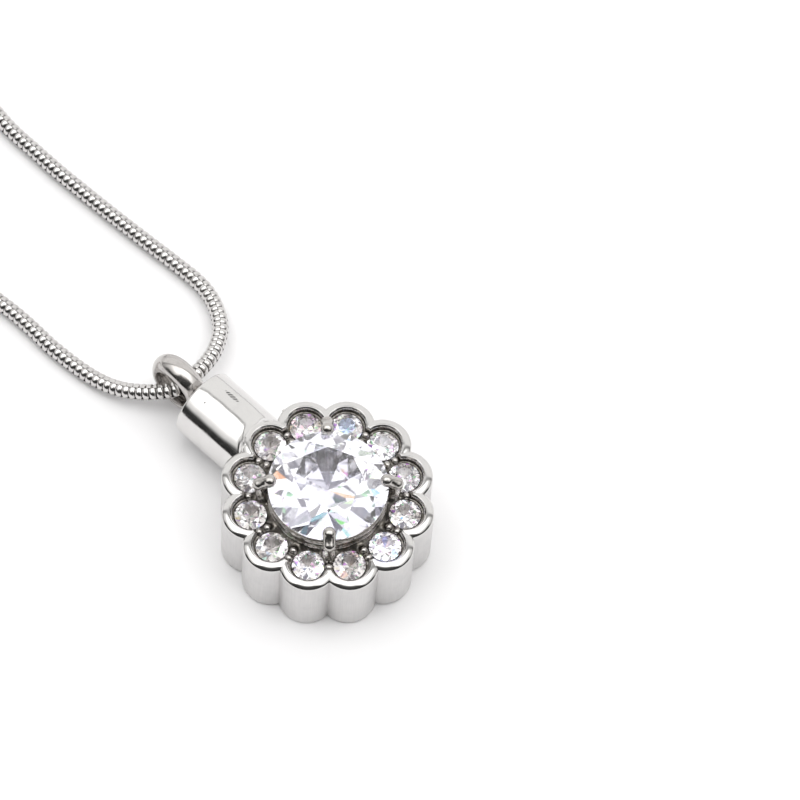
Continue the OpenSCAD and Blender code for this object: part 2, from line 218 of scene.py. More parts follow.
class Tree:
    """A small wrapper that adds nodes to a node tree and links them."""

    def __init__(self, tree: bpy.types.NodeTree) -> None:
        """Take over a tree and empty it."""
        self.tree = tree
        tree.nodes.clear()

    def add(self, kind: str, inputs: dict | None = None, **settings: object) -> bpy.types.Node:
        """Add a node.

        Args:
            kind: The node's type.
            inputs: Values, sockets or nodes (their first output) for its inputs, by name or number.
            settings: Attributes to set on the node.

        Returns:
            The node.
        """
        node = self.tree.nodes.new(kind)
        for key, value in settings.items():
            setattr(node, key, value)
        for key, value in (inputs or {}).items():
            socket = node.inputs[key]
            if isinstance(value, bpy.types.Node):
                value = value.outputs[0]
            if isinstance(value, bpy.types.NodeSocket):
                self.tree.links.new(value, socket)
            else:
                socket.default_value = value
        return node

    def math(
        self, operation: str, a: object, b: object = 0.0, c: object = 0.0, clamp: bool = False
    ) -> bpy.types.NodeSocket:
        """The result of a Math node."""
        return self.add("ShaderNodeMath", {0: a, 1: b, 2: c}, operation=operation, use_clamp=clamp).outputs[0]

    def ramp(
        self, value: object, low: float, high: float, to_low: float = 0.0, to_high: float = 1.0, smooth: bool = True
    ) -> bpy.types.NodeSocket:
        """A value mapped from one range to another, with its ends held."""
        node = self.add(
            "ShaderNodeMapRange",
            {0: value, 1: low, 2: high, 3: to_low, 4: to_high},
            interpolation_type="SMOOTHSTEP" if smooth else "LINEAR",
            clamp=True,
        )
        return node.outputs[0]

    def mix(self, factor: object, a: object, b: object) -> bpy.types.NodeSocket:
        """The result of mixing two colours."""
        return self.add("ShaderNodeMix", {0: factor, 6: a, 7: b}, data_type="RGBA").outputs[2]

    def place(self) -> bpy.types.NodeSocket:
        """The object coordinates."""
        return self.add("ShaderNodeTexCoord").outputs["Object"]

    def lumps(self, place: object) -> bpy.types.Node:
        """Add the rounded lumps of a cast surface."""
        return self.add("ShaderNodeTexVoronoi", {"Vector": place, "Scale": 4200.0}, feature="SMOOTH_F1")

    def noise(self, place: object, scale: float, detail: float = 2.0, roughness: float = 0.5) -> bpy.types.Node:
        """Add a noise texture."""
        inputs = {"Vector": place, "Scale": scale, "Detail": detail, "Roughness": roughness}
        return self.add("ShaderNodeTexNoise", inputs)

    def marks(self, wear: bpy.types.NodeTree, scale: float, scratches: float, smudges: float) -> bpy.types.Node:
        """Place the group of handling marks."""
        return self.add(
            "ShaderNodeGroup", {"Scale": scale, "Scratches": scratches, "Smudges": smudges}, node_tree=wear
        )

    def metal(self, base: object, gloss: object, height: object) -> None:
        """Finish the tree with a bare metal whose relief comes from a height."""
        bump = self.add("ShaderNodeBump", {"Height": height, "Strength": 1.0, "Distance": RELIEF})
        shader = self.add(
            "ShaderNodeBsdfPrincipled",
            {"Base Color": base, "Roughness": gloss, "Normal": bump.outputs[0], "Metallic": 1.0},
        )
        self.add("ShaderNodeOutputMaterial", {"Surface": shader.outputs[0]})


def colour(r: float, g: float, b: float) -> tuple[float, float, float, float]:
    """An opaque colour."""
    return (r, g, b, 1.0)


def new_material(name: str) -> tuple[bpy.types.Material, Tree]:
    """An empty material and its tree."""
    material = bpy.data.materials.new(name)
    material.use_nodes = True
    return material, Tree(material.node_tree)


def wear_group() -> bpy.types.NodeTree:
    """Build the node group that lays handling marks over polished metal.

    Returns:
        A group with the inputs Scale, Scratches and Smudges, and the outputs Height, Gloss and Tint.
    """
    group = bpy.data.node_groups.new("handling_wear", "ShaderNodeTree")
    face = group.interface
    for name, value in (("Scale", 1.0), ("Scratches", 0.5), ("Smudges", 0.5)):
        socket = face.new_socket(name=name, in_out="INPUT", socket_type="NodeSocketFloat")
        socket.default_value = value
    for name in ("Height", "Gloss", "Tint"):
        face.new_socket(name=name, in_out="OUTPUT", socket_type="NodeSocketFloat")
    t = Tree(group)
    given = t.add("NodeGroupInput")
    place = t.place()
    scaled = t.add("ShaderNodeVectorMath", {0: place, "Scale": given.outputs["Scale"]}, operation="SCALE")
    hairs = []
    for turn, stretch, seed in (((0.3, 0.2, 0.5), (260, 5200, 900), 1.3), ((1.1, 0.4, 2.1), (4300, 210, 1200), 7.9)):
        inputs = {"Vector": scaled, "Rotation": turn, "Scale": stretch, "Location": (seed, 0, 0)}
        laid = t.add("ShaderNodeMapping", inputs)
        noise = t.noise(laid, 1.0, 2.0)
        hairs.append(t.ramp(noise, 0.66, 0.74))
    both = t.math("MAXIMUM", hairs[0], hairs[1])
    patch = t.noise(scaled, 420.0, 3.0)
    where = t.ramp(patch, 0.45, 0.62)
    marks = t.math("MULTIPLY", t.math("MULTIPLY", both, where), given.outputs["Scratches"])
    cloud = t.noise(scaled, 900.0, 5.0, 0.6)
    smudge = t.math("MULTIPLY", t.ramp(cloud, 0.4, 0.75), given.outputs["Smudges"])
    wave = t.noise(scaled, 350.0, 1.0)
    height = t.math("SUBTRACT", wave, t.math("MULTIPLY", marks, 0.04))
    t.add(
        "NodeGroupOutput",
        {"Height": height, "Gloss": t.math("MAXIMUM", marks, smudge), "Tint": t.math("MULTIPLY", smudge, 0.6)},
    )
    return group


@dataclass(frozen=True)
class MetalFinish:
    """A bare metal finish: its colour, its polish and how much it has been handled.

    Each scuff is the place across and along the part and the half width and half length, in millimetres.
    """

    name: str
    bright: tuple[float, float, float]
    dull: tuple[float, float, float]
    polish: float
    worn: float
    wear_scale: float = 1.0
    scratches: float = 0.5
    smudges: float = 0.5
    bump: float = 0.02
    brushed: float = 0.0
    cast: float = 0.0
    scuffs: tuple[tuple[float, float, float, float], ...] = ()

    def build(self, wear: bpy.types.NodeTree) -> bpy.types.Material:
        """Make the material.

        Args:
            wear: The group of handling marks.

        Returns:
            The material.
        """
        material, t = new_material(self.name)
        marks = t.marks(wear, self.wear_scale, self.scratches, self.smudges)
        base = t.mix(marks.outputs["Tint"], colour(*self.bright), colour(*self.dull))
        gloss = t.ramp(marks.outputs["Gloss"], 0.0, 1.0, self.polish, self.worn, False)
        height = t.math("MULTIPLY", marks.outputs["Height"], self.bump)
        place = t.place()
        if self.brushed:
            laid = t.add("ShaderNodeMapping", {"Vector": place, "Scale": (9000, 9000, 350)})
            grain = t.noise(laid, 1.0, 3.0)
            height = t.math("ADD", height, t.math("MULTIPLY", grain, self.brushed))
            base = t.mix(t.ramp(grain, 0.3, 0.7, 0.0, 0.35), base, colour(*self.dull))
        if self.cast:
            lumps = t.lumps(place)
            height = t.math("ADD", height, t.math("MULTIPLY", lumps, self.cast))
        if self.scuffs:
            base = t.mix(self.scuff_mask(t, place), base, colour(*(0.12 * c for c in self.dull)))
        t.metal(base, gloss, height)
        return material

    def scuff_mask(self, t: Tree, place: bpy.types.NodeSocket) -> bpy.types.NodeSocket:
        """Mask of short strokes in small patches on the upper side.

        Args:
            t: The material's tree.
            place: The object coordinates.

        Returns:
            The mask.
        """
        x, y, z = t.add("ShaderNodeSeparateXYZ", {0: place}).outputs
        whole = t.ramp(z, 5.2 * MM, 5.4 * MM)
        found = None
        for across, along, half_w, half_l in self.scuffs:
            dx = t.math("DIVIDE", t.math("SUBTRACT", x, across * MM), half_w * MM)
            dy = t.math("DIVIDE", t.math("SUBTRACT", y, along * MM), half_l * MM)
            patch = t.ramp(t.math("ADD", t.math("MULTIPLY", dx, dx), t.math("MULTIPLY", dy, dy)), 0.5, 1.1, 1.0, 0.0)
            found = patch if found is None else t.math("MAXIMUM", found, patch)
        slant = t.math("ADD", t.math("MULTIPLY", x, 16000.0), t.math("MULTIPLY", y, 21000.0))
        strokes = t.ramp(t.math("SINE", slant), -0.5, 0.3, 0.1, 1.0)
        return t.math("MULTIPLY", t.math("MULTIPLY", found, strokes), whole)


@dataclass(frozen=True)
class CastFinish:
    """The setting's cast metal: its plate dark as oxide and painted shade, its collet band grey-brown with painted
    highlight lines on the bead crests, near white where seen through a stone as painted light, and bright elsewhere.
    """

    name: str
    bright: tuple[float, float, float]
    dark: tuple[float, float, float]
    brown: tuple[float, float, float]
    plate_z: float = 6.3
    collet_r: float = 5.32
    bead_low: float = 6.62
    bead_high: float = 7.52
    collet_top: float = 7.95

    def build(self, wear: bpy.types.NodeTree) -> bpy.types.Material:
        """Make the material.

        Args:
            wear: The group of handling marks.

        Returns:
            The material.
        """
        material, t = new_material(self.name)
        place = t.place()
        x, y, z = t.add("ShaderNodeSeparateXYZ", {0: place}).outputs
        height = t.math("DIVIDE", z, MM)
        squared = t.math("ADD", t.math("MULTIPLY", x, x), t.math("MULTIPLY", y, y))
        across = t.math("DIVIDE", t.math("SQRT", squared), MM)
        # Oxide and painted shade: the plate low between the stones turns dark, standing in also for the shade that
        # falls there.
        plate = t.ramp(height, self.plate_z + 0.03, self.plate_z + 0.26, 1.0, 0.0)
        within = t.ramp(across, self.collet_r, self.collet_r + 0.08, 1.0, 0.0)
        below = t.ramp(height, self.collet_top, self.collet_top + 0.1, 1.0, 0.0)
        on_collet = t.math("MULTIPLY", within, below)
        # Painted highlight: thin lines along the bead crests, set a little above each bead's middle where the highlight
        # falls when seen from above, keep the bright colour while the rest of the collet's band turns grey-brown.
        crest_highlight_lines = [
            t.ramp(t.math("ABSOLUTE", t.math("SUBTRACT", height, level)), 0.04, 0.13, 1.0, 0.0)
            for level in (self.bead_low, self.bead_high)
        ]
        band = t.math("MULTIPLY", on_collet, t.math("SUBTRACT", 0.85, t.math("MAXIMUM", *crest_highlight_lines), clamp=True))
        speck = t.noise(place, 5200.0, 4.0)
        mottle = t.ramp(speck, 0.3, 0.62, 0.55, 1.0)
        low, middle = t.math("MULTIPLY", plate, mottle), t.math("MULTIPLY", band, mottle)
        marks = t.marks(wear, 1.6, 0.3, 0.7)
        # Painted light: metal seen through a stone is coloured near white, so the stone shows bright instead of the
        # dark setting beneath.
        through = t.math("GREATER_THAN", t.add("ShaderNodeLightPath").outputs["Transmission Depth"], 0.5)
        base = t.mix(t.math("MULTIPLY", marks.outputs["Tint"], 0.6), colour(*self.bright), colour(*self.dark))
        base = t.mix(middle, base, colour(*self.brown))
        # The plate is painted dark here: oxide and painted shade.
        base = t.mix(low, base, colour(*self.dark))
        base = t.mix(through, base, colour(0.96, 0.95, 0.97))
        worn = t.ramp(marks.outputs["Gloss"], 0.0, 1.0, 0.12, 0.35, False)
        gloss = t.math("ADD", worn, t.math("MULTIPLY", t.math("MAXIMUM", low, middle), 0.2))
        lumps = t.lumps(place)
        rise = t.math("ADD", t.math("MULTIPLY", lumps, 0.15), t.math("MULTIPLY", marks.outputs["Height"], 0.1))
        t.metal(base, gloss, rise)
        return material


@dataclass(frozen=True)
class StoneFinish:
    """A clear cut stone: its tint, the painted shade and painted fire colours laid on its facets, and how strongly it
    bends light.
    """

    name: str
    tint: tuple[float, float, float]
    shade: tuple[float, float, float]
    bend: float
    painted_shade_cut: float = 0.6
    fire: float = 0.93

    def build(self) -> bpy.types.Material:
        """Make the material, with faint polishing marks, painted shade on some facets and painted fire colours on a
        few.
        """
        material, t = new_material(self.name)
        place = t.place()
        facet = t.add("ShaderNodeAttribute", attribute_name="facet").outputs["Fac"]
        # Painted shade: facets whose random number passes the cut get the darker shade colour.
        base = t.mix(t.math("GREATER_THAN", facet, self.painted_shade_cut), colour(*self.tint), colour(*self.shade))
        hue = t.math("FRACT", t.math("MULTIPLY", facet, 43.0))
        painted_fire_colour = t.add("ShaderNodeCombineColor", {0: hue, 1: 0.5, 2: 1.0}, mode="HSV")
        # Painted fire: a few facets get a bright colour from the spectrum.
        base = t.mix(t.math("GREATER_THAN", facet, self.fire), base, painted_fire_colour)
        haze = t.noise(place, 1500.0, 3.0)
        rough = t.ramp(haze, 0.6, 0.9, 0.0, 0.02)
        lines = t.add("ShaderNodeMapping", {"Vector": place, "Scale": (3000, 90000, 3000)})
        grain = t.noise(lines, 1.0)
        bump = t.add("ShaderNodeBump", {"Height": grain, "Strength": 0.02, "Distance": 0.00001})
        shader = t.add(
            "ShaderNodeBsdfPrincipled",
            {
                "Base Color": base, "Roughness": rough, "Normal": bump,
                "Metallic": 0.0, "IOR": self.bend, "Transmission Weight": 1.0,
            },
        )
        t.add("ShaderNodeOutputMaterial", {"Surface": shader})
        return material


class Finishes:
    """Every material of the pendant, built once."""

    def __init__(self) -> None:
        """Build the materials."""
        wear = wear_group()
        self.polished = MetalFinish(
            "polished_steel", (0.67, 0.66, 0.65), (0.55, 0.54, 0.53), 0.07, 0.25, 1.0, 0.5, 0.25, 0.22
        ).build(wear)
        self.neck = MetalFinish(
            "neck_steel", (0.7, 0.69, 0.68), (0.58, 0.57, 0.56), 0.1, 0.3, 1.0, 0.6, 0.4, 0.5,
            scuffs=((1.09, 12.5, 0.2, 0.85), (-1.04, 13.7, 0.1, 0.12)),
        ).build(wear)
        self.satin = MetalFinish(
            "satin_steel", (0.67, 0.66, 0.655), (0.57, 0.565, 0.565), 0.33, 0.45, 1.0, 0.25, 0.5, 0.1, brushed=0.05
        ).build(wear)
        # Oxidised metal with painted shade: the recess below the rim gets a much darker colour.
        self.recess_oxide_and_shade = MetalFinish(
            "recess_oxide_and_painted_shade", (0.46, 0.44, 0.42), (0.17, 0.16, 0.15), 0.2, 0.45, 2.2, 0.4, 1.0, 0.2, cast=0.1
        ).build(wear)
        self.solder = MetalFinish(
            "solder_beads", (0.6, 0.58, 0.56), (0.25, 0.235, 0.22), 0.12, 0.35, 2.0, 0.3, 0.8, 0.2, cast=0.1
        ).build(wear)
        self.cast = CastFinish("cast_setting", (0.52, 0.50, 0.48), (0.13, 0.12, 0.105), (0.37, 0.34, 0.305)).build(wear)
        self.ring = MetalFinish(
            "ring_steel", (0.55, 0.53, 0.515), (0.39, 0.37, 0.36), 0.14, 0.35, 1.4, 0.5, 0.6, 0.3
        ).build(wear)
        self.thread = MetalFinish(
            "thread_steel", (0.55, 0.53, 0.51), (0.33, 0.32, 0.31), 0.2, 0.4, 2.0, 0.3, 0.6, 0.1
        ).build(wear)
        self.scale = MetalFinish(
            "chain_scales", (0.66, 0.645, 0.635), (0.46, 0.45, 0.44), 0.14, 0.35, 2.5, 0.4, 0.5, 0.05
        ).build(wear)
        # Near-black metal for the chain's core: painted shade in the gaps between the scales.
        self.gap = MetalFinish(
            "chain_gaps_painted_shade", (0.07, 0.065, 0.06), (0.04, 0.04, 0.04), 0.5, 0.7, 3.0, 0.2, 0.8, 0.1
        ).build(wear)
        # Each stone's second colour is the painted shade on some facets; the last number picks the few facets painted
        # in fire colours.
        self.centre = StoneFinish("centre_stone_glass", (1.0, 1.0, 1.0), (0.68, 0.67, 0.76), 2.2, 0.62, 2.0).build()
        self.small = StoneFinish("small_stone_glass", (0.99, 0.985, 0.975), (0.36, 0.33, 0.31), 1.9, 0.55, 0.96).build()


# ------------------------------------------------------------------ the pieces


# The rim's inner part with its fine groove: share of its width and share of its drop.
RIM_GROOVE = ((0.1, 0.12), (0.22, 0.14), (0.36, 0.1), (0.6, 0.35), (0.82, 0.62), (0.94, 0.82), (1.0, 1.0))


@dataclass
class Case:
    """The flower-shaped case with its neck, in millimetres."""

    finishes: Finishes
    petals: int = 12
    ring_r: float = 6.8
    petal_r: float = 2.48
    height: float = 6.9
    rim_w: float = 0.84
    web_r: float = 7.15
    rim_round: float = 0.45
    crown_w: float = 0.62
    crown_start: float = 33.0
    bevel_drop: float = 0.18
    back_round: float = 0.25
    recess_z: float = 4.9
    floor_t: float = 0.8
    chamber_r: float = 7.2
    chamber_top: float = 3.35
    well_r: float = 1.5
    well_z: float = 3.95
    neck_r: float = 3.2
    neck_z: float = 3.45
    neck_end: float = 15.18
    neck_round: float = 0.25
    bore_r: float = 1.58
    bore_end: float = 9.38
    passage_r: float = 1.1
    fillet: float = 0.55
    per_petal: int = 26
    per_tip: int = 3
    round_neck: int = 144

    def outline(self, inset: float, z: float) -> list[Point]:
        """The flower's outline at a height.

        Args:
            inset: How far the outline lies inside the case's wall.
            z: Its height.

        Returns:
            The points, anticlockwise from the gap before the neck's petal.
        """
        r = self.petal_r - inset
        half = math.pi / self.petals
        web = self.web_r + self.rim_w - inset
        spare = r * r - (self.ring_r * math.sin(half)) ** 2
        valley = self.ring_r * math.cos(half) + math.sqrt(max(spare, 0.0))
        if spare > 0 and valley > web:
            end = math.atan2(valley * math.sin(half), valley * math.cos(half) - self.ring_r)
            corner = 0.93 * end
            bends = [corner + (end - corner) * i / self.per_tip for i in range(1, self.per_tip + 1)]
            tip = [(self.ring_r + r * math.cos(a), r * math.sin(a)) for a in bends]
        else:
            swing = math.acos((web * web + self.ring_r**2 - r * r) / (2 * web * self.ring_r))
            corner = math.atan2(web * math.sin(swing), web * math.cos(swing) - self.ring_r)
            bends = [swing + (half - swing) * i / self.per_tip for i in range(1, self.per_tip + 1)]
            tip = [(web * math.cos(a), web * math.sin(a)) for a in bends]
        petal = [(x, -y) for x, y in reversed(tip)]
        for s in range(self.per_petal + 1):
            a = corner * (2 * s / self.per_petal - 1)
            petal.append((self.ring_r + r * math.cos(a), r * math.sin(a)))
        petal += tip[:-1]
        points = []
        for k in range(self.petals):
            c, s = math.cos(math.pi / 2 + 2 * half * k), math.sin(math.pi / 2 + 2 * half * k)
            points += [(x * c - y * s, x * s + y * c, z) for x, y in petal]
        return points

    def wall_profile(self) -> list[tuple[float, float]]:
        """Inset and height from the back's flat, up the wall and over the rim, to the recess's floor."""
        back = self.back_round
        turns = (0, 0.32, 0.64, 0.96, 1.28, math.pi / 2)
        rows = [(back - back * math.sin(a), back - back * math.cos(a)) for a in turns]
        rows += [(0.0, 1.2), (0.0, 2.6), (0.0, 4.2), (0.0, 5.6), (0.0, 6.3)]
        first = math.radians(self.crown_start)
        crown_r = self.crown_w / math.cos(first)
        rows += [
            (self.crown_w - crown_r * math.cos(a), self.height - crown_r * (1 - math.sin(a)))
            for a in (first + (math.pi / 2 - first) * i / 9 for i in range(10))
        ]
        rows += [
            (self.crown_w + (self.rim_w - self.crown_w) * across, self.height - self.bevel_drop * down)
            for across, down in RIM_GROOVE
        ]
        rows += [(self.rim_w, 6.62), (self.rim_w, 6.3), (self.rim_w, 5.6), (self.rim_w, self.recess_z)]
        return rows

    def shell(self) -> bpy.types.Object:
        """Build the case's shell: back, wall, rim, recess, well and ash chamber."""
        rows = self.wall_profile()
        chamber = [(0.0, self.floor_t), (self.chamber_r, self.floor_t)]
        chamber += [(self.chamber_r, self.chamber_top), (0.0, self.chamber_top)]
        count = self.petals * (self.per_petal + 2 * self.per_tip)
        points: list[Point] = [p for inset, z in rows for p in self.outline(inset, z)]
        faces = grid_faces(len(rows), count)
        last = (len(rows) - 1) * count
        wall_r, satin_top = self.ring_r + 0.9, self.height - 0.25
        angles = [math.atan2(points[last + i][1], points[last + i][0]) for i in range(count)]
        for z in (self.recess_z, self.well_z):
            points += [(self.well_r * math.cos(a), self.well_r * math.sin(a), z) for a in angles]
        faces += [tuple(last + i for i in f) for f in grid_faces(3, count)]
        centre = len(points)
        points += [(0, 0, self.well_z), (0, 0, 0)]
        low = last + 2 * count
        faces += [(low + i, low + (i + 1) % count, centre) for i in range(count)]
        faces += [((i + 1) % count, i, centre + 1) for i in range(count)]

        def finish(place: Vector, normal: Vector) -> int:
            """Satin on the upright wall, a much darker metal down in the recess, oxidised and with painted shade,
            polish elsewhere.
            """
            outward = place.xy.dot(normal.xy) > 0 and place.xy.length > wall_r
            if abs(normal.z) < 0.2 and outward and self.back_round < place.z < satin_top:
                return 1
            sunk = place.z < self.height - self.bevel_drop and not outward and place.z > self.back_round
            return 2 if sunk else 0

        skins = [self.finishes.polished, self.finishes.satin, self.finishes.recess_oxide_and_shade]
        piece = build_mesh("case_shell", points, faces, skins, finish, 40)
        room, room_faces = turned(Spindle((0, 0, 0), (0, 0, 1), (1, 0, 0)), chamber, 72)
        hollow = build_mesh("ash_chamber", room, room_faces, [self.finishes.satin])
        hollow.data.flip_normals()
        return joined(piece, [hollow])

    def wall_y(self, x: float, z: float) -> float:
        """How far along +Y the case's wall reaches at a place."""
        inset = 0.0
        for soft, past in ((self.rim_round, z - self.height + self.rim_round), (self.back_round, self.back_round - z)):
            if past > 0:
                inset = soft - math.sqrt(max(soft**2 - min(past, soft) ** 2, 0.0))
        r = self.petal_r - inset
        best = 0.0
        for k in (-1, 0, 1):
            a = math.pi / 2 + k * math.pi / 6
            cx, cy = self.ring_r * math.cos(a), self.ring_r * math.sin(a)
            if abs(x - cx) < r:
                best = max(best, cy + math.sqrt(r * r - (x - cx) ** 2))
        return best

    def neck(self) -> bpy.types.Object:
        """Build the neck from its bore, over its rounded end and down to the fillet on the wall."""
        n = self.round_neck
        spindle = Spindle((0, 0, self.neck_z), (0, 1, 0), (1, 0, 0))
        mouth, below_rim, above_back, buried = 0.12, 0.04, 0.03, 0.25
        inlet = self.bore_end - 2.4
        profile = [(0.0, inlet), (self.passage_r, inlet), (self.passage_r, self.bore_end), (self.bore_r, self.bore_end)]
        turns = 10
        pitch = (self.neck_end - 0.5 - self.bore_end) / turns
        for i in range(turns):
            y = self.bore_end + 0.1 + pitch * i
            profile += [(self.bore_r, y), (self.bore_r + 0.12, y + pitch * 0.45), (self.bore_r, y + pitch * 0.9)]
        profile += [(self.bore_r, self.neck_end - mouth), (self.bore_r + mouth, self.neck_end)]
        soft = self.neck_round
        turns_over = (0, 0.25, 0.5, 0.75, 1.0, 1.25, math.pi / 2)
        profile += quarter_round(self.neck_r - soft, self.neck_end - soft, soft, turns_over)
        profile += [(self.neck_r, y) for y in (14.2, 13.2, 12.2, 11.2, 10.4)]
        points, faces = turned(spindle, profile, n)
        rows = len(profile)
        steps = 8
        jitter = random.Random(7)
        wobble = [jitter.uniform(-1, 1) for _ in range(n)]
        for step in range(steps + 2):
            for s in range(n):
                a = 2 * math.pi * s / n
                lump = 1 + 0.12 * sum(wobble[(s + j) % n] for j in range(-2, 3)) / 5
                out = self.fillet * lump
                up = -math.sin(a)
                if up > 0:
                    out = min(out, (self.height - below_rim - self.neck_z - self.neck_r * up) / up)
                elif up < 0:
                    out = min(out, (self.neck_z + self.neck_r * up - above_back) / -up)
                near = spindle.place(self.neck_r, 0.0, a)
                far = spindle.place(self.neck_r + out, 0.0, a)
                corner = self.wall_y(near[0], near[2])
                begin = (near[0], corner + self.fillet * lump, near[2])
                end = (far[0], self.wall_y(far[0], far[2]), far[2])
                if step == steps + 1:
                    points.append((end[0], end[1] - buried, end[2]))
                    continue
                k = step / steps
                mid = (near[0], corner, near[2])
                weights = ((1 - k) ** 2, 2 * k * (1 - k), k * k)
                points.append(tuple(sum(w * c for w, c in zip(weights, trio)) for trio in zip(begin, mid, end)))
        faces += [tuple((rows - 1) * n + i for i in f) for f in grid_faces(steps + 3, n)]

        def finish(place: Vector, normal: Vector) -> int:
            """Thread metal inside the bore, polish outside."""
            inside = math.hypot(place.x, place.z - self.neck_z) < self.bore_r + 0.15
            return 1 if inside else 0

        return build_mesh("neck", points, faces, [self.finishes.neck, self.finishes.thread], finish, 50)

    def solder(self) -> bpy.types.Object:
        """Build the small beads of solder that stand in the corners beside the neck."""
        draw = random.Random(11)
        points: list[Point] = []
        faces: list[Face] = []
        for side in (-1, 1):
            for _ in range(9):
                x = side * (3.1 + draw.uniform(-0.12, 0.3))
                z = 3.6 + draw.uniform(-1.6, 2.4)
                size = draw.uniform(0.07, 0.15)
                y = self.wall_y(x, z) + draw.uniform(0.0, 0.22)
                ball, skin = turned(
                    Spindle((x, y, z), (0, 1, 0), (1, 0, 0)),
                    [(size * math.sin(a), -size * math.cos(a)) for a in (0.01, 0.5, 1.05, 1.57, 2.09, 2.6, 3.13)],
                    10,
                    len(points),
                )
                points += ball
                faces += skin
        return build_mesh("solder", points, faces, [self.finishes.solder], crease=80)

    def build(self) -> None:
        """Build the case and hand it over."""
        body = joined(self.shell(), [self.neck()])
        body.name = "case_body"
        ride(body, Body.URN, ["case"])
        ride(self.solder(), Body.URN)


def joined(piece: bpy.types.Object, others: Sequence[bpy.types.Object]) -> bpy.types.Object:
    """Join meshes into the first one, keeping each one's finishes."""
    with bpy.context.temp_override(
        active_object=piece, selected_editable_objects=[piece, *others], selected_objects=[piece, *others]
    ):
        bpy.ops.object.join()
    return piece


@dataclass
class Setting:
    """The cast setting, its seams closed and its normals smoothed over the solid's mesh."""

    finishes: Finishes

    def plate(self) -> bpy.types.Object:
        """Copy the solid's mesh and close its seams."""
        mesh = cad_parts["setting"].data.copy()
        bm = bmesh.new()
        bm.from_mesh(mesh)
        bmesh.ops.remove_doubles(bm, verts=bm.verts, dist=2e-7)
        for f in bm.faces:
            f.smooth = True
        bm.to_mesh(mesh)
        bm.free()
        mesh.materials.clear()
        mesh.materials.append(self.finishes.cast)
        mesh.set_sharp_from_angle(angle=math.radians(40))
        return new_object("setting_casting", mesh)

    def build(self) -> None:
        """Build the setting and hand it over."""
        ride(self.plate(), Body.URN, ["setting"])


@dataclass
class Brilliant:
    """A round brilliant, cut plane by plane from a blank, in millimetres."""

    name: str
    diameter: float
    place: Point
    turn: float
    material: bpy.types.Material
    table: float = 0.57
    crown: float = 0.14
    pavilion: float = 0.4
    girdle: float = 0.015
    girdle_sides: int = 48

    def planes(self) -> list[tuple[Vector, Vector]]:
        """A point and an outward normal for each facet."""
        r = self.diameter / 2
        half = self.girdle * r
        cuts: list[tuple[Vector, Vector]] = []
        top = half + self.crown * self.diameter
        cuts.append((Vector((0, 0, top)), Vector((0, 0, 1))))

        def facet(angle: float, steep: float, radius: float, z: float) -> None:
            """Cut a facet that leans by an angle in degrees and passes through a point."""
            around, lean = math.radians(angle), math.radians(abs(steep))
            up = 1 if steep > 0 else -1
            across = math.sin(lean)
            normal = Vector((across * math.cos(around), across * math.sin(around), up * math.cos(lean)))
            cuts.append((Vector((radius * math.cos(around), radius * math.sin(around), z)), normal))

        crown_lean = math.degrees(math.atan2(self.crown * self.diameter, r - self.table * r))
        deep_lean = math.degrees(math.atan2(self.pavilion * self.diameter, r))
        for k in range(8):
            facet(45 * k, crown_lean, r, half)
            facet(45 * k, -deep_lean, r, -half)
        for k in range(16):
            middle = 22.5 * k + 11.25
            facet(middle, crown_lean + 5.5, r * 0.999, half)
            facet(middle, -(deep_lean + 1.4), r * 0.999, -half)
        for k in range(8):
            facet(45 * k + 22.5, crown_lean - 12.5, self.table * r * math.cos(math.radians(22.5)), top)
        return cuts

    def build(self, body: Body, slot: Slot, node: str) -> None:
        """Cut the stone, mark its facets and hand it over.

        Args:
            body: The body that it rides on.
            slot: Its material slot; not used.
            node: The solid that it stands for.
        """
        bm = bmesh.new()
        bmesh.ops.create_cone(
            bm, cap_ends=True, segments=self.girdle_sides,
            radius1=self.diameter / 2, radius2=self.diameter / 2, depth=self.diameter * 1.2,
        )
        for point, normal in self.planes():
            cut = bmesh.ops.bisect_plane(
                bm, geom=bm.verts[:] + bm.edges[:] + bm.faces[:], dist=1e-6,
                plane_co=point, plane_no=normal, clear_outer=True,
            )
            edges = [e for e in cut["geom_cut"] if isinstance(e, bmesh.types.BMEdge) and e.is_boundary]
            if edges:
                bmesh.ops.contextual_create(bm, geom=edges)
        bmesh.ops.remove_doubles(bm, verts=bm.verts, dist=1e-4)
        bmesh.ops.recalc_face_normals(bm, faces=bm.faces)
        # A random number per facet, which the stone finishes use for painted shade and painted fire.
        tone = bm.faces.layers.float.new("facet")
        draw = random.Random(round(self.turn * 10) + 3)
        for f in bm.faces:
            f[tone] = draw.random()
        turned_round = Matrix.Rotation(math.radians(self.turn), 4, "Z") @ Matrix.Scale(MM, 4)
        spin = Matrix.Translation(Vector(self.place) * MM) @ turned_round
        bmesh.ops.transform(bm, matrix=spin, verts=bm.verts)
        mesh = bpy.data.meshes.new(self.name)
        bm.to_mesh(mesh)
        bm.free()
        mesh.materials.append(self.material)
        ride(new_object(self.name, mesh), body, [node])


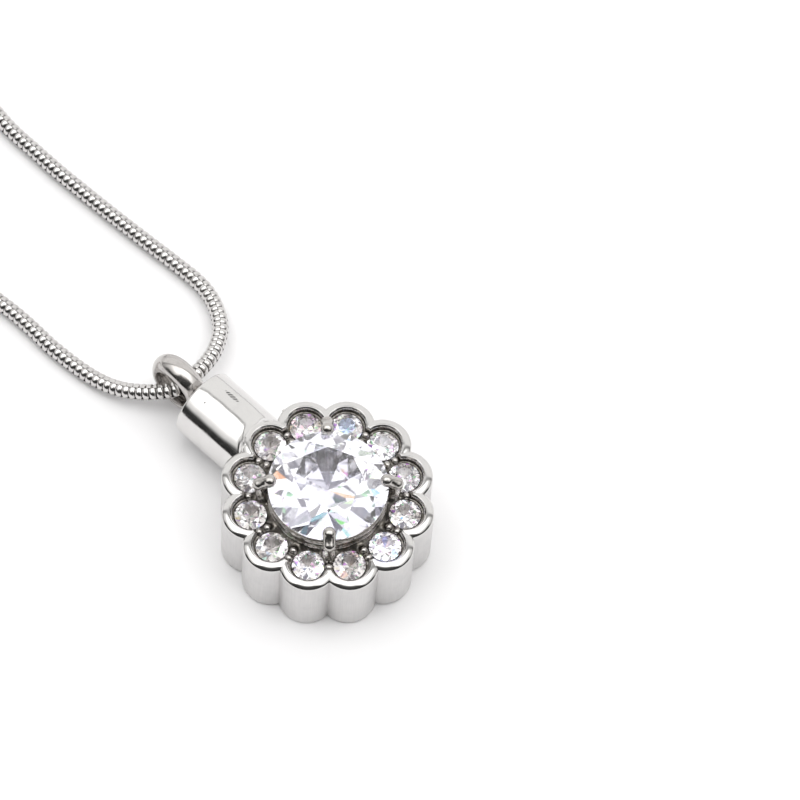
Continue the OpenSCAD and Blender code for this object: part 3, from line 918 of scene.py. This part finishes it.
@dataclass
class RingScrew:
    """The domed ring and the screw under it, in millimetres."""

    finishes: Finishes
    centre: Point = (0.0, 17.8, 3.45)
    hole_r: float = 1.9
    side_r: float = 2.25
    crown_r: float = 2.92
    width: float = 2.06
    neck_end: float = 15.18
    screw_r: float = 1.48
    root_r: float = 1.24
    tip_y: float = 9.7
    pitch: float = 0.5

    def band(self) -> bpy.types.Object:
        """Build the ring's band, flat inside and domed outside, with softened edges."""
        half = self.width / 2
        rise = self.crown_r - self.side_r
        dome = (rise * rise + half * half) / (2 * rise)
        swing = math.degrees(math.asin(half / dome))
        soft = 0.08
        inner = self.hole_r
        profile = [(inner, -half + soft), (inner, half - soft), (inner + 0.03, half - 0.03), (inner + soft, half)]
        profile += [(self.side_r - soft, half), (self.side_r - 0.02, half - 0.015)]
        profile += [
            (self.crown_r - dome + dome * math.cos(math.radians(a)), dome * math.sin(math.radians(a)))
            for a in [swing * 0.95 * (1 - i / 9) for i in range(19)]
        ]
        profile += [(self.side_r - 0.02, -half + 0.015), (self.side_r - soft, -half)]
        profile += [(inner + soft, -half), (inner + 0.03, -half + 0.03)]
        points, faces = turned(Spindle(self.centre, (1, 0, 0), (0, 1, 0)), profile, 120, closed=True)
        return build_mesh("ring_band", points, faces, [self.finishes.ring], crease=50)

    def screw(self) -> bpy.types.Object:
        """Build the screw: a chamfered tip, a rolled thread, a plain neck and the solder under the ring."""
        sides, steps = 48, 8
        spindle = Spindle((0, 0, self.centre[2]), (0, 1, 0), (1, 0, 0))
        points: list[Point] = []
        first, last = self.tip_y + 0.3, self.neck_end - 0.7
        rows = int((last - first) / self.pitch * steps)
        outline = [(0.001, self.tip_y), (self.root_r - 0.25, self.tip_y), (self.root_r, self.tip_y + 0.25)]
        points += turned(spindle, outline, sides)[0]
        for i in range(rows + 1):
            y = first + (last - first) * i / rows
            fade = min(1.0, (y - first) / 0.4, (last - y) / 0.4)
            for s in range(sides):
                turn = 2 * math.pi * s / sides
                phase = ((y - first) / self.pitch - s / sides) % 1.0
                crest = max(0.0, min(1.0, 1.6 * (1 - abs(2 * phase - 1)) - 0.25))
                radius = self.root_r + (self.screw_r - self.root_r) * crest * max(fade, 0.0)
                points.append(spindle.place(radius, y, turn))
        end = self.neck_end
        head = [(self.root_r, last + 0.05), (self.screw_r, last + 0.15), (self.screw_r, end + 0.08)]
        head += [(1.36, end + 0.2), (1.1, end + 0.28), (0.7, end + 0.3), (0.001, end + 0.3)]
        points += turned(spindle, head, sides)[0]
        count = len(points) // sides
        return build_mesh("screw", points, grid_faces(count, sides), [self.finishes.thread], crease=45)

    def build(self) -> None:
        """Build the ring and its screw and hand them over."""
        piece = joined(self.band(), [self.screw()])
        piece.name = "ring_and_screw"
        ride(piece, Body.NECKLACE, ["ring_screw"])


ROUTE = [
    (12, 160, 0.86), (32, 155.2, 0.1), (45, 148.2, 0), (56, 137.2, 0), (64, 122.7, 0), (67, 105.7, 0),
    (65.5, 89.2, 0), (59, 73.7, 0), (48, 61.2, 0), (35, 52, 0), (22.5, 45.5, 0), (13, 40, 0),
    (9.2, 33.5, 0), (8.6, 27, 0), (8.65, 21.5, 0), (8.85, 16.5, 0), (9.1, 12.2, 0), (9.3, 8.9, 0.01),
    (9.25, 6.2, 0.04), (8.4, 3.75, 0.15), (6.9, 1.85, 0.41), (4.65, 0.5, 0.74), (2.3, 0, 0.96), (0, 0, 1),
    (-1.35, 0.9, 0.92), (-2.55, 2.4, 0.65), (-3.45, 4.3, 0.3), (-3.95, 6.4, 0.06), (-4.25, 8.8, 0),
    (-4.4, 12, 0), (-4.45, 18, 0), (-6.5, 27, 0), (-13, 35.7, 0), (-24.5, 43.7, 0), (-38, 52.2, 0),
    (-50.5, 63.7, 0), (-59, 78.2, 0), (-63, 94.7, 0), (-62.5, 111.7, 0), (-57.5, 127.7, 0),
    (-47, 141.2, 0), (-33.5, 150.7, 0), (-19, 157.2, 0.2), (-8.5, 159.9, 0.86),
]


@dataclass
class SnakeChain:
    """The snake chain: links of four stepped scales nested along the route over a near-black core that paints the shade
    between them, in millimetres.
    """

    finishes: Finishes
    ring_y: float = 17.8
    radius: float = 0.75
    rise: float = 1.8
    clasp_z: float = 1.5
    clasp_x: float = 2.0
    clasp_y: float = 178.0
    reach: float = 4.2
    far_y: float = 80.0
    pitch: float = 0.62
    band: float = 0.93
    columns: tuple[float, ...] = (2.0, 23.0, 45.0, 67.0, 88.0)

    def path(self) -> list[Vector]:
        """The chain's centre line as a fine row of points."""
        ends = [Vector((self.clasp_x + side * self.reach, self.clasp_y, self.clasp_z)) for side in (1, -1)]
        points = [ends[0]]
        for x, y, share in ROUTE:
            lift = (self.clasp_z - self.radius if y > self.far_y else self.rise) * share
            points.append(Vector((x, self.ring_y + y, self.radius + lift)))
        points.append(ends[1])
        for _ in range(4):
            finer = []
            for i in range(len(points) - 1):
                a, b, c, d = points[max(i - 1, 0)], points[i], points[i + 1], points[min(i + 2, len(points) - 1)]
                middle = (9 * (b + c) - a - d) / 16
                middle.z = max(middle.z, self.radius)
                finer += [b, middle]
            points = finer + [points[-1]]
        return points

    def link(self) -> bpy.types.Object:
        """Build one link: four convex scales that step half a link forwards and back, lying along +Z."""
        rows = [(-0.5, 0.84), (-0.34, 0.965), (0.0, 1.0), (0.32, 0.97), (0.5, 0.85)]
        points: list[Point] = []
        faces: list[Face] = []
        for quarter in range(4):
            faces += grid_faces(len(rows), len(self.columns), False, len(points))
            step = 0.25 if quarter % 2 else -0.25
            for share, swell in rows:
                for column in self.columns:
                    a = math.radians(90 * quarter + column)
                    r = self.radius * swell * (0.955 + 0.045 * math.sin(math.radians(2 * column)))
                    points.append((r * math.cos(a), r * math.sin(a), (share * self.band + step) * self.pitch))
        return build_mesh("link", points, faces, [self.finishes.scale], crease=75, outward=False)

    def tree(self, link: bpy.types.Object) -> bpy.types.NodeTree:
        """Build the node tree that sets links along a curve.

        Args:
            link: The link to repeat.

        Returns:
            The tree, with the inputs Pitch, Link and Finish.
        """
        tree = bpy.data.node_groups.new("links_on_route", "GeometryNodeTree")
        face = tree.interface
        for name, kind in (("Route", "Geometry"), ("Pitch", "Float"), ("Link", "Object"), ("Finish", "Material")):
            face.new_socket(name=name, in_out="INPUT", socket_type="NodeSocket" + kind)
        face.new_socket(name="Chain", in_out="OUTPUT", socket_type="NodeSocketGeometry")
        t = Tree(tree)
        given = t.add("NodeGroupInput").outputs
        route = t.add("GeometryNodeMeshToCurve", {0: given["Route"]})
        level = t.add("GeometryNodeSetCurveNormal", {0: route}, mode="Z_UP")
        spaced = t.add("GeometryNodeCurveToPoints", {0: level, "Length": given["Pitch"]}, mode="LENGTH").outputs
        shape = t.add("GeometryNodeObjectInfo", {0: given["Link"]}).outputs["Geometry"]
        laid = t.add(
            "GeometryNodeInstanceOnPoints",
            {"Points": spaced["Points"], "Rotation": spaced["Rotation"], "Instance": shape},
        )
        real = t.add("GeometryNodeRealizeInstances", {0: laid})
        dressed = t.add("GeometryNodeSetMaterial", {0: real, "Material": given["Finish"]})
        t.add("NodeGroupOutput", {0: dressed})
        return tree

    def build(self) -> None:
        """Set the links, sweep the core and hand both over."""
        path = self.path()
        link = self.link()
        line = bpy.data.meshes.new("route")
        line.from_pydata([p * MM for p in path], [(i, i + 1) for i in range(len(path) - 1)], [])
        carrier = new_object("route", line)
        tree = self.tree(link)
        modifier = carrier.modifiers.new("links", "NODES")
        modifier.node_group = tree
        keys = {s.name: s.identifier for s in tree.interface.items_tree if s.in_out == "INPUT"}
        modifier[keys["Pitch"]] = self.pitch * MM
        modifier[keys["Link"]] = link
        modifier[keys["Finish"]] = self.finishes.scale
        evaluated = carrier.evaluated_get(bpy.context.evaluated_depsgraph_get())
        chain = new_object("snake_chain", bpy.data.meshes.new_from_object(evaluated))
        for spare in (carrier, link):
            bpy.data.objects.remove(spare)
        for polygon in chain.data.polygons:
            polygon.use_smooth = True
        ride(chain, Body.NECKLACE, ["chain"])
        ride(self.core(path), Body.NECKLACE)

    def core(self, path: Sequence[Vector]) -> bpy.types.Object:
        """Sweep the core that shows between the scales, near black as painted shade in the gaps."""
        sides, radius = 10, self.radius * 0.8
        points: list[Point] = []
        used = path[::3] + [path[-1]]
        for i, p in enumerate(used):
            along = (used[min(i + 1, len(used) - 1)] - used[max(i - 1, 0)]).normalized()
            side = Vector((0, 0, 1)).cross(along).normalized()
            up = along.cross(side)
            for s in range(sides):
                a = 2 * math.pi * s / sides
                points.append(tuple(p + (side * math.cos(a) + up * math.sin(a)) * radius))
        faces = grid_faces(len(used), sides)
        faces += [tuple(reversed(range(sides))), tuple(range(len(points) - sides, len(points)))]
        return build_mesh("chain_core", points, faces, [self.finishes.gap], crease=70)


@dataclass
class Clasp:
    """The barrel clasp, in millimetres."""

    finishes: Finishes
    centre: Point = (2.0, 178.0, 1.5)
    length: float = 12.0
    radius: float = 1.5
    soft: float = 0.5
    socket_r: float = 0.83
    socket_depth: float = 2.0
    groove: float = 0.3

    def build(self) -> None:
        """Turn the barrel with its rounded ends, sockets, knurled bands and middle groove."""
        half = self.length / 2
        deep, soft = half - self.socket_depth, self.soft
        end = [(0.001, deep), (self.socket_r, deep), (self.socket_r, half - 0.05), (self.socket_r + 0.06, half)]
        end += quarter_round(self.radius - soft, half - soft, soft, (0, 0.3, 0.6, 0.9, 1.2, math.pi / 2))
        side = [(self.radius, 4.6)]
        for i in range(5):
            y = 4.4 - 0.3 * i
            side += [(self.radius, y), (self.radius - 0.08, y - 0.08), (self.radius, y - 0.16)]
        sunk = self.radius - self.groove
        side += [(self.radius, 1.2), (self.radius, 0.42), (self.radius - self.groove * 0.5, 0.33)]
        side += [(sunk, 0.28), (sunk, 0.05)]
        right = end + side
        profile = right + [(r, -h) for r, h in reversed(right)]
        points, faces = turned(Spindle(self.centre, (1, 0, 0), (0, 1, 0)), profile, 64)
        barrel = build_mesh("clasp_barrel", points, faces, [self.finishes.polished], crease=50)
        ride(barrel, Body.NECKLACE, ["clasp"])


# ------------------------------------------------------------------ the studio


@dataclass
class Studio:
    """The floor, the light and the camera."""

    distance: float = 0.4
    pixels_per_mm: float = 11.374
    elevation: float = 61.86
    roll: float = 4.955
    turn: float = 50.79
    shift: tuple[float, float] = (-5.451, -13.259)
    image: int = 800
    sensor: float = 36.0

    def camera(self) -> None:
        """Stand the camera where the photograph was taken from."""
        e, r, th = math.radians(self.elevation), math.radians(self.roll), math.radians(self.turn)
        ahead = Vector((0, math.cos(e), -math.sin(e)))
        right, up = Vector((1, 0, 0)), Vector((0, math.sin(e), math.cos(e)))
        right, up = right * math.cos(r) + up * math.sin(r), up * math.cos(r) - right * math.sin(r)
        back = Matrix.Rotation(-th, 4, "Z")
        place = back @ (-ahead * self.distance - Vector((self.shift[0] * MM, self.shift[1] * MM, 0)))
        axes = [(back @ v) for v in (right, up, -ahead)]
        data = bpy.data.cameras.new("camera")
        data.sensor_width = self.sensor
        data.lens = self.pixels_per_mm * self.distance / MM / self.image * self.sensor
        data.clip_start, data.clip_end = 0.01, 20.0
        camera = bpy.data.objects.new("camera", data)
        bpy.context.scene.collection.objects.link(camera)
        turn = Matrix([[axes[c][i] for c in range(3)] for i in range(3)]).to_4x4()
        camera.matrix_world = Matrix.Translation(place) @ turn
        bpy.context.scene.camera = camera

    def floor(self) -> None:
        """Lay the pale floor."""
        material, t = new_material("pale_floor")
        place = t.place()
        noise = t.noise(place, 60.0, 3.0)
        base = t.mix(noise, colour(0.955, 0.95, 0.965), colour(0.97, 0.97, 0.975))
        shader = t.add("ShaderNodeBsdfPrincipled", {"Base Color": base, "Roughness": 0.9, "Specular IOR Level": 0.1})
        t.add("ShaderNodeOutputMaterial", {"Surface": shader})
        disc = turned(Spindle((0, 60, -0.02), (0, 0, 1), (1, 0, 0)), [(0.001, 0), (900, 0)], 64)
        build_mesh("floor", *disc, [material], outward=False)

    def world(self) -> None:
        """Hang the soft light: a bright canopy, the dark figure of the viewer and an even far side.

        Rays that have passed through a stone see a field of bright, dim and coloured cells instead.
        """
        world = bpy.data.worlds.new("soft_box")
        world.use_nodes = True
        bpy.context.scene.world = world
        t = Tree(world.node_tree)
        look = t.add("ShaderNodeTexCoord").outputs["Generated"]
        x, y, z = t.add("ShaderNodeSeparateXYZ", {0: look}).outputs
        spread = t.math("SQRT", t.math("ADD", t.math("MULTIPLY", x, x), t.math("MULTIPLY", y, y)))
        toward = t.add("ShaderNodeVectorMath", {0: look, 1: (-0.775, -0.632, 0.0)}, operation="DOT_PRODUCT")
        ahead = toward.outputs["Value"]
        facing = t.math("DIVIDE", ahead, t.math("MAXIMUM", spread, 0.001))
        reach = t.ramp(facing, 0.5, 0.85, 0.47, 0.97)
        over = t.ramp(t.math("SUBTRACT", z, reach), -0.16, 0.06, 1.0, 0.0)
        figure = t.math("MULTIPLY", over, t.ramp(facing, -0.12, 0.12))
        canopy = t.math("ADD", t.ramp(z, 0.0, 0.5, 0.4, 1.0), t.ramp(z, 0.54, 0.93, 0.0, 1.5))
        beyond = t.math("MULTIPLY", ahead, -1.0)
        far_side = t.ramp(beyond, 0.36, 0.42)
        near = t.math("MULTIPLY", canopy, t.math("SUBTRACT", 1.0, far_side))
        canopy = t.math("ADD", near, t.math("MULTIPLY", far_side, 1.1))
        seam = t.ramp(t.math("ABSOLUTE", t.math("SUBTRACT", beyond, 0.4)), 0.01, 0.09, 0.3, 1.0)
        skyline = t.ramp(z, 0.0, 0.06, 0.3, 1.0)
        canopy = t.math("MULTIPLY", canopy, t.math("MULTIPLY", seam, skyline))
        light = t.math("MULTIPLY", canopy, t.math("SUBTRACT", 1.0, t.math("MULTIPLY", figure, 0.94)))
        lit = t.add("ShaderNodeVectorMath", {0: (1.0, 0.995, 0.985), "Scale": light}, operation="SCALE")
        path = t.add("ShaderNodeLightPath")
        cells = t.add("ShaderNodeTexVoronoi", {"Vector": look, "Scale": 9.0})
        shade = t.add("ShaderNodeSeparateColor", {0: cells.outputs["Color"]})
        hue = t.add("ShaderNodeCombineColor", {0: shade, 1: 0.75, 2: 1.2}, mode="HSV")
        fire = t.ramp(shade.outputs[1], 0.92, 0.93)
        dim = t.ramp(shade.outputs[2], 0.71, 0.74)
        inner = t.mix(dim, colour(1.8, 1.8, 1.82), colour(0.28, 0.27, 0.32))
        inner = t.mix(fire, inner, hue)
        inside = t.math("GREATER_THAN", path.outputs["Transmission Depth"], 0.5)
        whole = t.mix(inside, lit, inner)
        background = t.add("ShaderNodeBackground", {"Color": whole, "Strength": 1.0})
        t.add("ShaderNodeOutputWorld", {"Surface": background})

    def build(self) -> None:
        """Set the camera, the floor, the light and how the light is traced."""
        self.camera()
        self.floor()
        self.world()
        scene = bpy.context.scene
        scene.view_settings.view_transform = "Standard"
        scene.view_settings.look = "None"
        scene.view_settings.exposure = 0.0
        scene.cycles.max_bounces = 24
        scene.cycles.transmission_bounces = 24
        scene.cycles.glossy_bounces = 10
        scene.cycles.diffuse_bounces = 4
        scene.cycles.use_denoising = True


def main() -> None:
    """Build every piece in order."""
    logging.basicConfig(level=logging.INFO, format="%(name)s: %(message)s")
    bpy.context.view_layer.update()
    Studio().build()
    finishes = Finishes()
    Case(finishes).build()
    Setting(finishes).build()
    centre = Brilliant("centre_brilliant", 10.3, (0, 0, 8.3), 0.0, finishes.centre, girdle_sides=96)
    centre.build(Body.URN, Slot.CENTRE, "centre_stone")
    for k in range(12):
        turn = 90 + 30 * k
        spot = (6.8 * math.cos(math.radians(turn)), 6.8 * math.sin(math.radians(turn)), 6.3)
        Brilliant(f"small_brilliant_{k + 1}", 2.75, spot, turn, finishes.small).build(
            Body.URN, Slot.SMALL, f"accent_stone_{k + 1}"
        )
    RingScrew(finishes).build()
    SnakeChain(finishes).build()
    Clasp(finishes).build()


if __name__ == "__main__":
    main()
